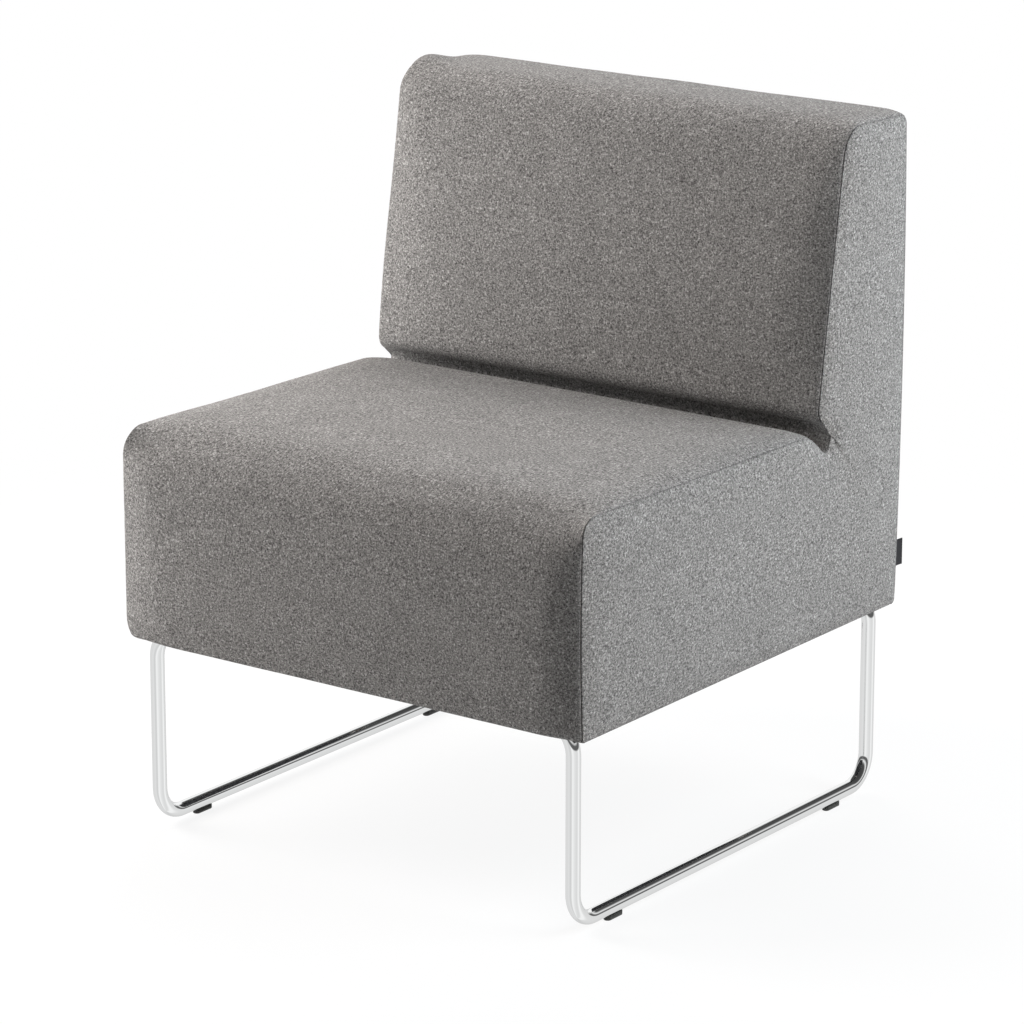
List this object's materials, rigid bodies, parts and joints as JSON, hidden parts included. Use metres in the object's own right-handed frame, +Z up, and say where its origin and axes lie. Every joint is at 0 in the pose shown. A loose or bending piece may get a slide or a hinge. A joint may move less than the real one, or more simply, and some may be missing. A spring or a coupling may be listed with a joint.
{
  "type": "armless lounge chair",
  "caption": "Low back armless lounge chair: an L-shaped body fully covered in heathered grey felt, on a sled base of thin bent chrome tube.",
  "frame": {"origin": "on the floor, under the middle of the bounding box", "axes": "the chair faces -Y, +X is the right of someone who looks at its front, +Z is up"},
  "size_m": [0.608, 0.6216, 0.7842],
  "materials": {
    "wool_felt": "matte",
    "woven_label": "matte",
    "non_woven": "matte",
    "foam": "matte",
    "plywood": "satin",
    "hardboard": "matte",
    "webbing": "matte",
    "chrome": "polished",
    "zinc_steel": "satin",
    "glide_plastic": "satin"
  },
  "bodies": {
    "root": {"main_cover": "wool_felt", "rear_cover": "wool_felt", "label": "woven_label", "dust_cover": "non_woven", "seat_foam": "foam", "back_foam": "foam", "front_pad": "foam", "rear_pad": "foam", "front_rail": "plywood", "rear_rail": "plywood", "seat_rear_rail": "plywood", "top_rail": "plywood", "base_board": "plywood", "back_board": "plywood", "rear_board": "hardboard", "side_cover_left": "wool_felt", "side_pad_left": "foam", "side_panel_left": "plywood", "corner_block_front_left": "plywood", "corner_block_rear_left": "plywood", "sled_tube_left": "chrome", "glide_front_left": "glide_plastic", "glide_rear_left": "glide_plastic", "side_cover_right": "wool_felt", "side_pad_right": "foam", "side_panel_right": "plywood", "corner_block_front_right": "plywood", "corner_block_rear_right": "plywood", "sled_tube_right": "chrome", "glide_front_right": "glide_plastic", "glide_rear_right": "glide_plastic", "seat_webbing_1": "webbing", "seat_webbing_2": "webbing", "seat_webbing_3": "webbing", "seat_webbing_4": "webbing", "seat_webbing_5": "webbing", "tube_spigot_front": "zinc_steel", "tube_spigot_rear": "zinc_steel", "tube_clamp_1": "zinc_steel", "tube_clamp_2": "zinc_steel", "tube_clamp_3": "zinc_steel", "tube_clamp_4": "zinc_steel", "tube_clamp_5": "zinc_steel", "tube_clamp_6": "zinc_steel", "clamp_screw_1": "zinc_steel", "clamp_screw_2": "zinc_steel", "clamp_screw_3": "zinc_steel", "clamp_screw_4": "zinc_steel", "clamp_screw_5": "zinc_steel", "clamp_screw_6": "zinc_steel", "clamp_screw_7": "zinc_steel", "clamp_screw_8": "zinc_steel", "clamp_screw_9": "zinc_steel", "clamp_screw_10": "zinc_steel", "clamp_screw_11": "zinc_steel", "clamp_screw_12": "zinc_steel"}
  },
  "joints": []
}
